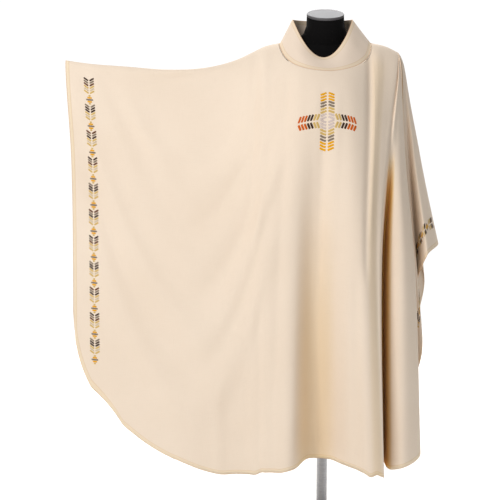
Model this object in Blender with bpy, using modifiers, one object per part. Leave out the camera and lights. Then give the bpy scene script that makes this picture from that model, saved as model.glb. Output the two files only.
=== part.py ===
"""Chasuble draped over a limbless dress form on a round stand.

Units are metres, +Z is up and the front faces -Y. The cloth is described by grain lines: each
line starts on the shoulder line, follows a short table of plan positions and keeps its cut length,
so the height of the hem comes from the cut.
"""
import math

import bmesh
import bpy
import numpy as np

OBJECT_NAME = "chasuble_on_dress_form"

# Cut of one panel, flat
HALF_SPAN = 0.800
CUT_LENGTH = 1.270
CORNER_RADIUS = 0.515
NECK_HALF_WIDTH = 0.136
FRONT_NECK_DEPTH = 0.165
BACK_NECK_DEPTH = 0.105
FRONT_NECK_SHAPING = 0.064
BACK_NECK_SHAPING = 0.030
SHAPING_HALF_WIDTH = 0.300
RAISED_TAKE_UP = 0.056
RAISED_TAKE_UP_CENTRE = -0.520
RAISED_TAKE_UP_OUTER_WIDTH = 0.270
RAISED_TAKE_UP_INNER_WIDTH = 0.330
CORNER_DIP = 0.020
CORNER_DIP_CENTRE = -0.690
CORNER_DIP_HALF_WIDTH = 0.050

# Walls and seams
CLOTH_WALL = 0.0022
COLLAR_WALL = 0.0025
SEAM_GAP = 0.0003
SEAM_STRIP = 0.003

# Shoulder line
SHOULDER_TIP = 0.213
RAISED_SHRINK = 0.944
SHOULDER_END_SLOPE = 0.80
RIDGE = (
    # x, height
    (-0.767, 1.434),
    (-0.704, 1.425),
    (-0.591, 1.416),
    (-0.460, 1.407),
    (-0.386, 1.409),
    (-0.318, 1.419),
    (-0.258, 1.437),
    (-SHOULDER_TIP, 1.458),
    (-0.180, 1.474),
    (-0.136, 1.484),
    (0.000, 1.490),
    (0.136, 1.484),
    (0.180, 1.474),
    (SHOULDER_TIP, 1.458),
)

# Distance down a grain line of the three stations of the fold tables
CHEST_STATION = 0.30
MIDDLE_STATION = 0.65
HEM_STATION = 1.25
STATIONS = (("chest", CHEST_STATION), ("middle", MIDDLE_STATION), ("hem", HEM_STATION))

# Grain lines: start on the shoulder line, angle below it, shoulder bend radius, then the plan
# position at the three stations
GRAIN_COLUMNS = ("start", "angle", "bend", "chest_x", "chest_y", "middle_x", "middle_y", "hem_x", "hem_y")
FRONT_GRAIN = (
    (-0.800, 90, 0.010, -0.753, -0.022, -0.7535, -0.030, -0.763, -0.050),
    (-0.600, 90, 0.014, -0.572, -0.050, -0.572, -0.070, -0.566, -0.090),
    (-0.420, 90, 0.020, -0.402, -0.080, -0.400, -0.112, -0.395, -0.130),
    (-0.260, 90, 0.036, -0.250, -0.115, -0.250, -0.155, -0.240, -0.168),
    (-0.150, 90, 0.070, -0.152, -0.165, -0.160, -0.200, -0.165, -0.212),
    (-0.080, 90, 0.105, -0.082, -0.196, -0.090, -0.216, -0.096, -0.235),
    (-0.025, 90, 0.125, -0.028, -0.202, -0.036, -0.188, -0.046, -0.142),
    (0.015, 90, 0.130, 0.012, -0.203, 0.004, -0.205, 0.006, -0.150),
    (0.070, 90, 0.110, 0.066, -0.200, 0.062, -0.240, 0.066, -0.218),
    (0.120, 90, 0.080, 0.112, -0.182, 0.104, -0.243, 0.118, -0.262),
    (0.170, 90, 0.058, 0.150, -0.162, 0.137, -0.220, 0.158, -0.254),
    (SHOULDER_TIP, 87.5, 0.045, 0.176, -0.148, 0.156, -0.198, 0.168, -0.222),
    (SHOULDER_TIP, 82, 0.042, 0.189, -0.134, 0.172, -0.085, 0.181, -0.075),
    (SHOULDER_TIP, 77.5, 0.040, 0.200, -0.128, 0.187, -0.169, 0.195, -0.176),
    (SHOULDER_TIP, 74.5, 0.038, 0.212, -0.120, 0.220, -0.184, 0.232, -0.198),
    (SHOULDER_TIP, 71.5, 0.036, 0.226, -0.096, 0.252, -0.148, 0.277, -0.152),
    (SHOULDER_TIP, 59, 0.034, 0.221, -0.048, 0.232, -0.046, 0.242, -0.050),
    (SHOULDER_TIP, 49, 0.032, 0.241, -0.042, 0.267, -0.085, 0.328, -0.100),
    (SHOULDER_TIP, 33, 0.030, 0.249, -0.027, 0.278, -0.022, 0.300, -0.028),
    (SHOULDER_TIP, 15, 0.030, 0.264, -0.040, 0.304, -0.115, 0.334, -0.170),
    (SHOULDER_TIP, 0, 0.030, 0.283, 0.000, 0.360, 0.000, 0.500, 0.000),
)
BACK_GRAIN = (
    (-0.800, 90, 0.010, -0.753, -0.022, -0.7535, -0.030, -0.763, -0.045),
    (-0.600, 90, 0.014, -0.572, -0.046, -0.572, -0.066, -0.566, -0.078),
    (-0.420, 90, 0.020, -0.402, -0.074, -0.402, -0.100, -0.398, -0.112),
    (-0.260, 90, 0.036, -0.252, -0.108, -0.252, -0.142, -0.250, -0.156),
    (-0.150, 90, 0.075, -0.152, -0.146, -0.160, -0.172, -0.170, -0.200),
    (-0.060, 90, 0.110, -0.062, -0.158, -0.072, -0.172, -0.085, -0.160),
    (0.020, 90, 0.120, 0.018, -0.160, 0.008, -0.186, -0.004, -0.212),
    (0.100, 90, 0.100, 0.096, -0.152, 0.090, -0.160, 0.080, -0.152),
    (0.170, 90, 0.060, 0.155, -0.140, 0.146, -0.184, 0.142, -0.220),
    (SHOULDER_TIP, 87, 0.045, 0.184, -0.126, 0.190, -0.170, 0.190, -0.196),
    (SHOULDER_TIP, 79, 0.040, 0.206, -0.104, 0.208, -0.094, 0.208, -0.098),
    (SHOULDER_TIP, 70, 0.036, 0.226, -0.094, 0.258, -0.150, 0.276, -0.168),
    (SHOULDER_TIP, 56, 0.034, 0.224, -0.040, 0.245, -0.048, 0.252, -0.052),
    (SHOULDER_TIP, 36, 0.032, 0.256, -0.044, 0.308, -0.066, 0.355, -0.082),
    (SHOULDER_TIP, 18, 0.030, 0.262, -0.024, 0.304, -0.024, 0.334, -0.032),
    (SHOULDER_TIP, 7, 0.030, 0.276, -0.020, 0.346, -0.034, 0.440, -0.050),
    (SHOULDER_TIP, 0, 0.030, 0.283, 0.000, 0.360, 0.000, 0.500, 0.000),
)

# Swags between the raised corner and the shoulder, in the flat cut: ends and lowest point
FRONT_SWAGS = (
    # left, left_drop, low, low_drop, right, right_drop, depth, width
    (-0.62, 0.02, -0.42, 0.40, -0.16, 0.18, 0.010, 0.050),
    (-0.72, 0.02, -0.40, 0.58, -0.12, 0.20, 0.013, 0.055),
    (-0.79, 0.05, -0.38, 0.80, -0.08, 0.24, 0.016, 0.060),
    (-0.82, 0.30, -0.42, 1.02, -0.10, 0.52, 0.014, 0.070),
)
BACK_SWAGS = (
    (-0.68, 0.02, -0.42, 0.48, -0.16, 0.18, 0.012, 0.060),
    (-0.80, 0.06, -0.40, 0.78, -0.08, 0.24, 0.015, 0.070),
)
SWAG_BOW = 1.25
SWAG_FADE = 0.10

# Mesh of the cloth: where a mesh line meets the hem, and where it starts
HEM_SPREAD = (-HALF_SPAN, -0.290, -0.200, 0.168, SHOULDER_TIP)
NECK_CORNER = NECK_HALF_WIDTH + SEAM_STRIP
START_SPREAD = (-HALF_SPAN, -SHOULDER_TIP, -NECK_CORNER, NECK_CORNER, SHOULDER_TIP)
COLUMN_STEP = 0.046
SHOULDER_LINES = 5
FAN_STEP = 5.0
FOLD_HALF_TURN = 1.3
CLOSE_FOLDS = 6.0
CLOTH_ROWS = 17
ROW_CROWDING = 1.6
LENGTH_STEPS = 48
LENGTH_TOLERANCE = 0.000001

# Collar
COLLAR_TOP_HALF_WIDTH = 0.0885
COLLAR_TOP_SHIFT = -0.009
COLLAR_TOP_FRONT_Y = -0.084
COLLAR_TOP_BACK_Y = 0.076
COLLAR_TOP_SIDE_HEIGHT = 1.553
COLLAR_TOP_FRONT_HEIGHT = 1.443
COLLAR_TOP_BACK_HEIGHT = 1.549
COLLAR_ROWS = 5

# Dress form
SHOULDER_CLEARANCE = 0.0007
FORM_SIDES = 40
NECK_RADIUS = 0.0550
NECK_TOP_HEIGHT = 1.562
NECK_SLANT = math.radians(16)
CAP_THICKNESS = 0.008
CAP_BEVEL = 0.002
FORM_TORSO = (
    # height, half width, half depth, pinch
    (0.800, 0.150, 0.105, 1.0),
    (0.808, 0.160, 0.112, 1.0),
    (0.860, 0.172, 0.118, 1.0),
    (0.960, 0.162, 0.108, 1.0),
    (1.060, 0.150, 0.102, 1.0),
    (1.160, 0.166, 0.108, 1.0),
    (1.270, 0.186, 0.106, 1.0),
    (1.350, 0.198, 0.088, 1.1),
    (1.400, 0.205, 0.070, 1.4),
    (1.432, 0.206, 0.059, 2.0),
)
FORM_SHOULDER = (
    # half width, half depth, pinch
    (0.200, 0.052, 2.8),
    (0.180, 0.050, 3.4),
    (0.162, 0.049, 3.4),
    (0.148, 0.049, 3.4),
)
FORM_NECK = (
    # height, half width, half depth, pinch
    (1.480, 0.128, 0.050, 3.4),
    (1.486, 0.106, 0.051, 2.6),
    (1.496, 0.082, 0.053, 1.7),
    (1.512, 0.064, 0.055, 1.1),
    (1.535, 0.056, 0.0553, 1.0),
)

# Stand
POLE_RADIUS = 0.016
POLE_FLANGE_RADIUS = 0.045
POLE_FLANGE_HEIGHT = 0.010
BASE_RADIUS = 0.200
BASE_THICKNESS = 0.006
BASE_EDGE = 0.0015
BASE_HUB_RADIUS = 0.040
BASE_HUB_HEIGHT = 0.045
STAND_SIDES = 48
MERGE_DISTANCE = 0.00005
SHARP_ANGLE = math.radians(40)


def smooth_table(at, knots, values):
    """Smooth curve through the knots; values may have columns."""
    at = np.atleast_1d(np.asarray(at, float))
    knots = np.asarray(knots, float)
    values = np.asarray(values, float).reshape(len(knots), -1)
    step = np.diff(knots)[:, None]
    slope = np.diff(values, axis=0) / step
    tangent = np.zeros_like(values)
    tangent[0] = slope[0]
    tangent[-1] = slope[-1]
    tangent[1:-1] = (slope[:-1] * step[1:] + slope[1:] * step[:-1]) / (step[:-1] + step[1:])
    place = np.clip(np.searchsorted(knots, at, side="right") - 1, 0, len(knots) - 2)
    width = step[place]
    share = (at[:, None] - knots[place][:, None]) / width
    rise = share * share * (3 - 2 * share)
    start = share * (1 - share) ** 2
    finish = share * share * (share - 1)
    low = values[place]
    high = values[place + 1]
    return low + (high - low) * rise + width * (start * tangent[place] + finish * tangent[place + 1])


def along_line(drop, chest, middle, hem):
    """Plan offset at a distance down the line, from its values at the three stations."""
    knots = (0.0, CHEST_STATION, MIDDLE_STATION, HEM_STATION)
    values = (np.zeros_like(chest), chest, middle, hem)
    tangents = (
        np.zeros_like(chest),
        middle / MIDDLE_STATION,
        (hem - chest) / (HEM_STATION - CHEST_STATION),
        (hem - middle) / (HEM_STATION - MIDDLE_STATION),
    )
    result = np.zeros_like(drop)
    for index in range(3):
        low = knots[index]
        width = knots[index + 1] - low
        share = (drop - low) / width
        curve = values[index] + (values[index + 1] - values[index]) * share * share * (3 - 2 * share)
        curve = curve + width * share * (1 - share) ** 2 * tangents[index]
        curve = curve + width * share * share * (share - 1) * tangents[index + 1]
        inside = (drop >= low) if index == 2 else (drop >= low) & (drop < low + width)
        result = np.where(inside, curve, result)
    return result


class Panel:
    """One panel of the chasuble: its cut and the way it hangs. Side is 1 in front and -1 behind."""

    def __init__(self, side, grain, swags, neck_depth, neck_shaping):
        self.side = side
        self.swags = swags
        self.neck_depth = neck_depth
        self.neck_shaping = neck_shaping
        table = np.array(grain, float)
        mirrored = table[-2].copy()
        for column in ("angle", "chest_y", "middle_y", "hem_y"):
            mirrored[GRAIN_COLUMNS.index(column)] *= -1
        table = np.vstack((table, mirrored))
        self.rows = table
        self.places = family_place(table[:, 0], table[:, 1])

    def plan(self, place, drop):
        """Plan position of points that lie at a distance down the grain lines."""
        column = dict(zip(GRAIN_COLUMNS, smooth_table(place, self.places, self.rows).T))
        start = np.minimum(place, SHOULDER_TIP)
        angle = np.radians(90 - 90 * np.maximum(place - SHOULDER_TIP, 0))
        start_x = ridge_x(start)
        bend = column["bend"]
        run = bend * (1 - np.exp(-drop / bend))
        lean_x = np.cos(angle) * SHOULDER_END_SLOPE
        lean_y = -np.sin(angle)
        offset_x = []
        offset_y = []
        for name, station in STATIONS:
            station_run = bend * (1 - np.exp(-station / bend))
            offset_x.append(column[name + "_x"] - start_x - lean_x * station_run)
            offset_y.append(column[name + "_y"] - lean_y * station_run)
        x = start_x + lean_x * run + along_line(drop, *offset_x)
        y = lean_y * run + along_line(drop, *offset_y)
        return x, y - self.swag(place, drop)

    def swag(self, place, drop):
        """Outward bulge of the swags."""
        total = np.zeros_like(drop)
        for left, left_drop, low, low_drop, right, right_drop, depth, width in self.swags:
            to_left = np.clip((low - place) / (low - left), 0, 1) ** SWAG_BOW
            to_right = np.clip((place - low) / (right - low), 0, 1) ** SWAG_BOW
            line = low_drop + (left_drop - low_drop) * to_left + (right_drop - low_drop) * to_right
            ends = np.clip((place - left) / SWAG_FADE, 0, 1) * np.clip((right - place) / SWAG_FADE, 0, 1)
            total = total + depth * ends * np.exp(-((drop - line) / width) ** 2)
        return total

    def position(self, place, drop):
        """Points in space; the height follows from the length already used up along the line."""
        place = np.atleast_1d(np.asarray(place, float))
        drop = np.atleast_1d(np.asarray(drop, float))
        height = ridge_height(np.minimum(place, SHOULDER_TIP))
        x_before, y_before = self.plan(place, np.zeros_like(drop))
        length_before = np.zeros_like(drop)
        for step in range(1, LENGTH_STEPS + 1):
            length = drop * (step / LENGTH_STEPS) ** 2
            x, y = self.plan(place, length)
            used = (x - x_before) ** 2 + (y - y_before) ** 2
            height = height - np.sqrt(np.maximum((length - length_before) ** 2 - used, 0))
            x_before = x
            y_before = y
            length_before = length
        return np.stack((x_before, self.side * y_before, height), axis=-1)

    def cut_depth(self, across):
        """Depth of the cut below the shoulder line at a place across it."""
        corner = np.maximum(np.abs(across) - (HALF_SPAN - CORNER_RADIUS), 0)
        rounding = CORNER_RADIUS - math.sqrt(max(CORNER_RADIUS ** 2 - corner ** 2, 0))
        shaping = max(1 - (across / SHAPING_HALF_WIDTH) ** 2, 0) ** 2
        past_centre = across - RAISED_TAKE_UP_CENTRE
        taken = past_centre / (RAISED_TAKE_UP_OUTER_WIDTH if past_centre < 0 else RAISED_TAKE_UP_INNER_WIDTH)
        take_up = RAISED_TAKE_UP * max(1 - taken ** 2, 0)
        take_up += CORNER_DIP * max(1 - ((across - CORNER_DIP_CENTRE) / CORNER_DIP_HALF_WIDTH) ** 2, 0)
        return CUT_LENGTH - rounding + self.neck_shaping * shaping - take_up

    def fan_length(self, degrees):
        """Distance from the shoulder tip to the edge of the cut, at an angle below the shoulder line."""
        angle = math.radians(degrees)
        low = 0.0
        high = HALF_SPAN + CUT_LENGTH
        while high - low > LENGTH_TOLERANCE:
            middle = (low + high) / 2
            across = SHOULDER_TIP + middle * math.cos(angle)
            inside = across <= HALF_SPAN and middle * math.sin(angle) <= self.cut_depth(across)
            low, high = (middle, high) if inside else (low, middle)
        return low

    def line_start(self, hem_across):
        """Where a mesh line leaves the shoulder line or the neck opening, flat."""
        if not starts_at_neck(hem_across):
            return float(np.interp(hem_across, HEM_SPREAD, START_SPREAD)), 0.0
        angle = neck_angle(hem_across)
        return NECK_HALF_WIDTH * math.sin(angle), self.neck_depth * math.cos(angle)

    def column_line(self, hem_across):
        """Mesh line from the shoulder line or the neck opening down to the hem."""
        start_across, start_drop = self.line_start(hem_across)
        length = self.cut_depth(hem_across) - start_drop
        down = line_rows(length)
        spread = 1 - (1 - down / length) ** 2
        across = start_across + (hem_across - start_across) * spread
        drop = start_drop + down
        if starts_at_neck(hem_across):
            angle = neck_angle(hem_across)
            away = np.array((math.sin(angle) / NECK_HALF_WIDTH, math.cos(angle) / self.neck_depth))
            away *= SEAM_STRIP / np.linalg.norm(away)
            across[1] = start_across + away[0]
            drop[1] = start_drop + away[1]
            return self.position(across, drop)
        points = self.position(across, drop)
        points[1] = points[0]
        points[1][1] -= self.side * SEAM_STRIP
        return points

    def fan_line(self, degrees):
        """Mesh line from the shoulder tip to the edge of the cut."""
        length = self.fan_length(degrees)
        down = line_rows(length)
        place = np.full(len(down), float(family_place(SHOULDER_TIP, degrees)))
        points = self.position(place, down)
        points[:, 1] -= self.side * SEAM_STRIP * (1 - math.sin(math.radians(degrees)))
        return points


def starts_at_neck(hem_across):
    return HEM_SPREAD[2] < hem_across < HEM_SPREAD[3]


def neck_angle(hem_across):
    """Turn around the neck opening of the mesh line that meets the hem at a place."""
    return math.pi * ((hem_across - HEM_SPREAD[2]) / (HEM_SPREAD[3] - HEM_SPREAD[2]) - 0.5)


def family_place(start, degrees):
    """One running number for the grain lines, along the shoulder line and then around its tip."""
    return np.asarray(start, float) + (90 - np.asarray(degrees, float)) / 90


def ridge_x(start):
    """Place in space of a point of the shoulder line; the raised side hangs in a shallow curve."""
    raised = np.minimum(start + SHOULDER_TIP, 0)
    return start - raised + raised * RAISED_SHRINK


def ridge_height(start):
    table = np.array(RIDGE)
    return smooth_table(ridge_x(start), table[:, 0], table[:, 1])[:, 0]


def line_rows(length):
    share = np.arange(CLOTH_ROWS - 1) / (CLOTH_ROWS - 2)
    return np.concatenate(((0.0,), SEAM_STRIP + (length - SEAM_STRIP) * share ** ROW_CROWDING))


def spaced(marks, step):
    """The marks, with even places between them no further apart than the step."""
    places = [marks[0]]
    for low, high in zip(marks[:-1], marks[1:]):
        count = max(1, math.ceil(abs(high - low) / step - LENGTH_TOLERANCE))
        places += [low + (high - low) * k / count for k in range(1, count + 1)]
    return places


def panel_lines(panel):
    """Mesh lines of a panel from its raised edge to the ridge that falls from the shoulder tip."""
    marks = {row[0] for row in panel.rows if row[0] < SHOULDER_TIP and not HEM_SPREAD[3] < row[0]}
    raised_shoulder = np.linspace(HEM_SPREAD[1], HEM_SPREAD[2], SHOULDER_LINES)
    falling_shoulder = np.linspace(HEM_SPREAD[3], HEM_SPREAD[4], SHOULDER_LINES)
    marks = {mark for mark in marks if not HEM_SPREAD[1] < mark < HEM_SPREAD[2]}
    marks |= {HEM_SPREAD[0], *raised_shoulder.tolist(), *falling_shoulder.tolist()}
    column_marks = sorted(marks)
    places = spaced(column_marks, COLUMN_STEP)
    angles = [90.0] + [row[1] for row in panel.rows if row[0] == SHOULDER_TIP and row[1] >= 0]
    degrees = [angles[0]]
    for high, low in zip(angles[:-1], angles[1:]):
        if high - low > CLOSE_FOLDS:
            degrees += [high - FOLD_HALF_TURN, low + FOLD_HALF_TURN]
        elif high < angles[0]:
            degrees.append((high + low) / 2)
        degrees.append(low)
    degrees = spaced(degrees, FAN_STEP)
    lines = [panel.column_line(across) for across in places]
    fan = [panel.fan_line(angle) for angle in degrees[1:]]
    neck_lines = [k for k, across in enumerate(places) if starts_at_neck(across)]
    return lines, fan, neck_lines


def panel_mesh(panel):
    """Vertices and faces of the open sheet, with the numbers of the vertices of its neck edge."""
    lines, fan, neck_lines = panel_lines(panel)
    vertices = []
    indices = []
    for line in lines:
        indices.append(list(range(len(vertices), len(vertices) + len(line))))
        vertices += [tuple(point) for point in line]
    tip_inner = indices[-1][1]
    for line in fan[:-1]:
        row = [tip_inner, tip_inner] + list(range(len(vertices), len(vertices) + len(line) - 2))
        indices.append(row)
        vertices += [tuple(point) for point in line[2:]]
    ridge = fan[-1]
    strip = [tip_inner, tip_inner]
    strip += list(range(len(vertices), len(vertices) + len(ridge) - 2))
    vertices += [tuple(point) for point in ridge[2:]]
    indices.append(strip)
    edge = [indices[len(lines) - 1][0]] * 2
    edge += list(range(len(vertices), len(vertices) + len(ridge) - 2))
    vertices += [(point[0], 0.0, point[2]) for point in ridge[2:]]
    indices.append(edge)
    neck = [indices[k] for k in neck_lines]
    before = indices[neck_lines[0] - 1]
    after = indices[neck_lines[-1] + 1]
    faces = []
    for left, right in zip(indices[:-1], indices[1:]):
        beside_opening = (left is before) or (right is after)
        for row in range(1 if beside_opening else 0, CLOTH_ROWS - 1):
            corners = [left[row], left[row + 1], right[row + 1], right[row]]
            corners = [corner for k, corner in enumerate(corners) if corner != corners[k - 1]]
            if len(corners) >= 3:
                faces += split_face(vertices, corners)
    opening_ends = []
    for across in (-NECK_HALF_WIDTH, NECK_HALF_WIDTH):
        x, y, z = panel.position(across, 0)[0]
        opening_ends.append([len(vertices), len(vertices) + 1])
        vertices += [(x, 0.0, z), (x, -panel.side * SEAM_STRIP, z)]
    first, last = opening_ends
    faces += split_face(vertices, [before[0], before[1], first[1], first[0]])
    faces += split_face(vertices, [first[1], before[1], neck[0][1], neck[0][0]])
    faces += split_face(vertices, [last[0], last[1], after[1], after[0]])
    faces += split_face(vertices, [neck[-1][0], neck[-1][1], after[1], last[1]])
    seam_shift = SEAM_GAP / 2
    vertices = [(x, y - panel.side * seam_shift, z) for x, y, z in vertices]
    edge_line = first + [index[0] for index in neck] + last[::-1]
    return vertices, faces, edge_line


def split_face(vertices, corners):
    """Four corners become two triangles along the shorter diagonal."""
    if len(corners) == 3:
        return [corners]
    points = np.array([vertices[k] for k in corners])
    one = np.linalg.norm(points[2] - points[0])
    other = np.linalg.norm(points[3] - points[1])
    if one <= other:
        return [[corners[0], corners[1], corners[2]], [corners[0], corners[2], corners[3]]]
    return [[corners[1], corners[2], corners[3]], [corners[1], corners[3], corners[0]]]


def new_material(name, colour, roughness, metallic=0.0):
    material = bpy.data.materials.new(name)
    material.use_nodes = True
    shader = material.node_tree.nodes["Principled BSDF"]
    shader.inputs["Base Color"].default_value = (*colour, 1)
    shader.inputs["Roughness"].default_value = roughness
    shader.inputs["Metallic"].default_value = metallic
    material.diffuse_color = (*colour, 1)
    return material


def new_object(name, mesh, material, collection):
    mesh.materials.append(material)
    piece = bpy.data.objects.new(name, mesh)
    collection.objects.link(piece)
    return piece


def shell(name, vertices, faces, wall, material, collection):
    """Open sheet given its wall by a Solidify modifier, outer side on the given vertices."""
    mesh = bpy.data.meshes.new(name)
    mesh.from_pydata([tuple(map(float, point)) for point in vertices], [], faces)
    mesh.validate()
    mesh.shade_smooth()
    piece = new_object(name, mesh, material, collection)
    modifier = piece.modifiers.new("wall", "SOLIDIFY")
    modifier.thickness = wall
    modifier.offset = -1
    modifier.use_rim = True
    return piece


def build_panel(name, panel, material, collection):
    vertices, faces, edge_line = panel_mesh(panel)
    if panel.side < 0:
        faces = [face[::-1] for face in faces]
    mesh = shell(name, vertices, faces, CLOTH_WALL, material, collection).data
    neck_points = np.array([mesh.vertices[k].co[:] for k in edge_line])
    neck_outward = np.array([mesh.vertices[k].normal[:] for k in edge_line])
    return neck_points, neck_outward


def neck_turns(count):
    """Turn around the neck of each point of a half ring, whose end pieces are the seam strips."""
    inner = np.linspace(-90, 90, count - 2)
    step = math.degrees(SEAM_STRIP / NECK_HALF_WIDTH)
    return np.concatenate(((-90.0,), (-90.0 + step,), inner[1:-1], (90.0 - step,), (90.0,)))


def collar_rings(front, back):
    """Rings of the collar, from just inside the neck seam up to its free edge."""
    front_points, front_outward = front
    back_points, back_outward = back
    seam = np.vstack((front_points, back_points[::-1][1:-1]))
    outward = np.vstack((front_outward, back_outward[::-1][1:-1]))
    corners = (0, len(front_points) - 1)
    for corner in corners:
        seam[corner][1] = 0
        outward[corner][1] = 0
    turn = np.radians(np.concatenate((neck_turns(len(front_points)), 180 + neck_turns(len(back_points))[1:-1])))
    along = np.roll(seam, -1, axis=0) - np.roll(seam, 1, axis=0)
    inward = np.cross(outward, along)
    inward /= np.linalg.norm(inward, axis=1)[:, None]
    inward *= np.sign(((seam.mean(axis=0) - seam) * inward).sum(axis=1))[:, None]
    first = seam + inward * SEAM_GAP
    second = first + inward * SEAM_STRIP
    top = np.zeros_like(seam)
    top[:, 0] = COLLAR_TOP_SHIFT + COLLAR_TOP_HALF_WIDTH * np.sin(turn)
    forward = np.cos(turn)
    top_mid_y = (COLLAR_TOP_FRONT_Y + COLLAR_TOP_BACK_Y) / 2
    top[:, 1] = top_mid_y - forward * (COLLAR_TOP_BACK_Y - COLLAR_TOP_FRONT_Y) / 2
    fall = np.where(forward > 0, COLLAR_TOP_SIDE_HEIGHT - COLLAR_TOP_FRONT_HEIGHT,
                    COLLAR_TOP_SIDE_HEIGHT - COLLAR_TOP_BACK_HEIGHT)
    top[:, 2] = COLLAR_TOP_SIDE_HEIGHT - fall * forward ** 2
    rings = [first, second]
    for row in range(1, COLLAR_ROWS):
        share = row / (COLLAR_ROWS - 1)
        rings.append(second + (top - second) * share)
    return rings


def build_collar(front, back, material, collection):
    rings = collar_rings(front, back)
    count = len(rings[0])
    vertices = np.vstack(rings)
    faces = []
    for row in range(len(rings) - 1):
        for k in range(count):
            after = (k + 1) % count
            low = row * count
            faces.append([low + k, low + after, low + count + after, low + count + k])
    return shell("collar", vertices, faces, COLLAR_WALL, material, collection)


def form_sections():
    """Sections of the torso and neck; those of the shoulders lie just under the shoulder line."""
    sections = list(FORM_TORSO)
    for half_width, half_depth, pinch in FORM_SHOULDER:
        under = float(ridge_height(np.array([half_width]))[0]) - CLOTH_WALL - SHOULDER_CLEARANCE
        sections.append((under, half_width, half_depth, pinch))
    return sections + list(FORM_NECK)


def ring_points(half_width, half_depth, height, sides, slant=0.0, pinch=1.0):
    """Ring seen from above: an ellipse, or a lens with thin ends where the pinch is above one."""
    points = []
    for k in range(sides):
        turn = 2 * math.pi * k / sides
        x = half_width * math.sin(turn)
        y = -half_depth * math.copysign(abs(math.cos(turn)) ** pinch, math.cos(turn))
        points.append((x, y, height + y * math.tan(slant)))
    return points


def lofted(name, rings, material, collection):
    """Closed body through the rings, with flat ends."""
    sides = len(rings[0])
    vertices = [point for ring in rings for point in ring]
    faces = []
    for row in range(len(rings) - 1):
        low = row * sides
        for k in range(sides):
            after = (k + 1) % sides
            faces.append([low + k, low + after, low + sides + after, low + sides + k])
    faces.append(list(range(sides))[::-1])
    faces.append([(len(rings) - 1) * sides + k for k in range(sides)])
    mesh = bpy.data.meshes.new(name)
    mesh.from_pydata(vertices, [], faces)
    mesh.validate()
    piece = new_object(name, mesh, material, collection)
    mesh.shade_smooth()
    mesh.set_sharp_from_angle(angle=SHARP_ANGLE)
    return piece


def build_form(materials, collection):
    rings = []
    for height, half_width, half_depth, pinch in form_sections():
        rings.append(ring_points(half_width, half_depth, height, FORM_SIDES, 0.0, pinch))
    neck_depth = NECK_RADIUS * math.cos(NECK_SLANT)
    rings.append(ring_points(NECK_RADIUS, neck_depth, NECK_TOP_HEIGHT, FORM_SIDES, NECK_SLANT))
    lofted("form_body", rings, materials["cover"], collection)


def build_cap(material, collection):
    """Round cap on the slanted top of the neck."""
    shape = bmesh.new()
    bmesh.ops.create_cone(shape, cap_ends=True, segments=FORM_SIDES, radius1=NECK_RADIUS, radius2=NECK_RADIUS,
                          depth=CAP_THICKNESS)
    mesh = bpy.data.meshes.new("neck_cap")
    shape.to_mesh(mesh)
    shape.free()
    piece = new_object("neck_cap", mesh, material, collection)
    rise = SEAM_GAP + CAP_THICKNESS / 2
    piece.location = (0, -rise * math.sin(NECK_SLANT), NECK_TOP_HEIGHT + rise * math.cos(NECK_SLANT))
    piece.rotation_euler = (NECK_SLANT, 0, 0)
    mesh.shade_smooth()
    mesh.set_sharp_from_angle(angle=SHARP_ANGLE)
    bevel = piece.modifiers.new("edge", "BEVEL")
    bevel.width = CAP_BEVEL
    bevel.segments = 2
    bevel.limit_method = "ANGLE"


def turned(name, profile, material, collection):
    """Turned piece from its profile, given as radius and height from the top down."""
    mesh = bpy.data.meshes.new(name)
    edges = [(k, k + 1) for k in range(len(profile) - 1)]
    mesh.from_pydata([(radius, 0, height) for radius, height in profile], edges, [])
    piece = new_object(name, mesh, material, collection)
    screw = piece.modifiers.new("turn", "SCREW")
    screw.axis = "Z"
    screw.angle = 2 * math.pi
    screw.steps = STAND_SIDES
    screw.render_steps = STAND_SIDES
    screw.use_merge_vertices = True
    screw.merge_threshold = MERGE_DISTANCE
    screw.use_smooth_shade = True
    return piece


def build_stand(materials, collection):
    base_profile = (
        (0, BASE_HUB_HEIGHT),
        (POLE_RADIUS + BASE_EDGE, BASE_HUB_HEIGHT),
        (BASE_HUB_RADIUS, BASE_THICKNESS + BASE_EDGE),
        (BASE_RADIUS - BASE_EDGE, BASE_THICKNESS),
        (BASE_RADIUS, BASE_THICKNESS - BASE_EDGE),
        (BASE_RADIUS, BASE_EDGE),
        (BASE_RADIUS - BASE_EDGE, 0),
        (0, 0),
    )
    turned("stand_base", base_profile, materials["base"], collection)
    pole_top = FORM_TORSO[0][0] - SEAM_GAP
    pole_bottom = BASE_HUB_HEIGHT + SEAM_GAP
    pole_profile = (
        (0, pole_top),
        (POLE_FLANGE_RADIUS, pole_top),
        (POLE_FLANGE_RADIUS, pole_top - POLE_FLANGE_HEIGHT),
        (POLE_RADIUS, pole_top - 2 * POLE_FLANGE_HEIGHT),
        (POLE_RADIUS, pole_bottom),
        (0, pole_bottom),
    )
    turned("stand_pole", pole_profile, materials["pole"], collection)


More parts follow.
